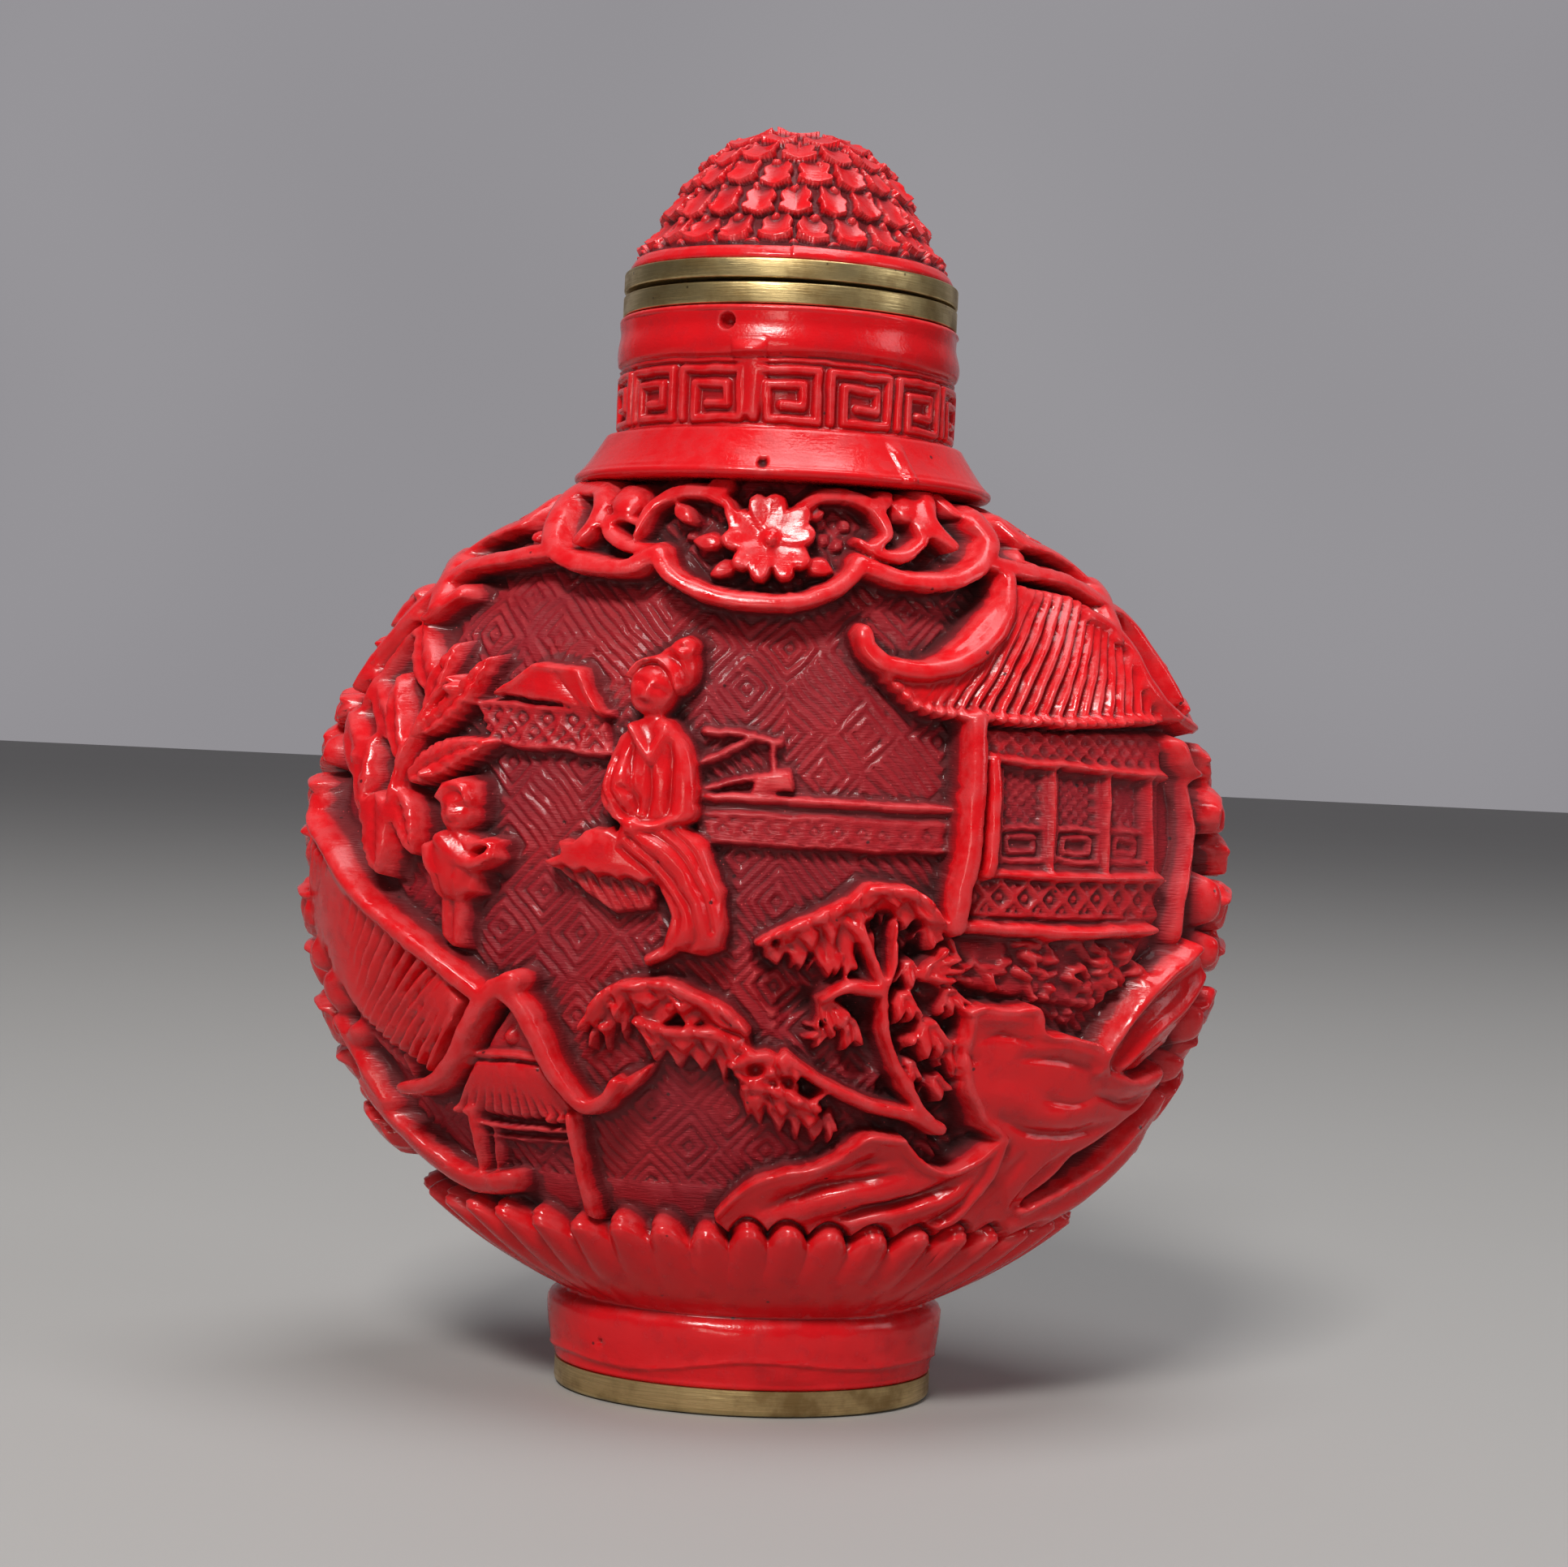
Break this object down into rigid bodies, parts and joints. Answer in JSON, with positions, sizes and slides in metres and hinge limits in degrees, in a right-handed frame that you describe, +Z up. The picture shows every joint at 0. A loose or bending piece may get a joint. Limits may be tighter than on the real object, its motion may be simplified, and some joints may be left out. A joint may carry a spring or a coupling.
{
  "type": "snuff bottle",
  "caption": "Flattened oval snuff bottle of carved red lacquer on an oval foot, hollow, with a brass-collared domed stopper.",
  "frame": {"origin": "centre of the base plate's underside", "axes": "+Z up the bottle, +X along its width, the main carved scene facing -Y"},
  "size_m": [0.0548, 0.0325, 0.074],
  "materials": {
    "red_lacquer": "carved red lacquer, polished on its raised surfaces, dirt in its hollows",
    "brass": "lightly scratched, dulled brass"
  },
  "bodies": {
    "root": {"base_plate": "brass", "bottle_body": "red_lacquer", "neck_collar": "brass", "stopper_collar": "brass", "stopper_dome": "red_lacquer"}
  },
  "joints": []
}
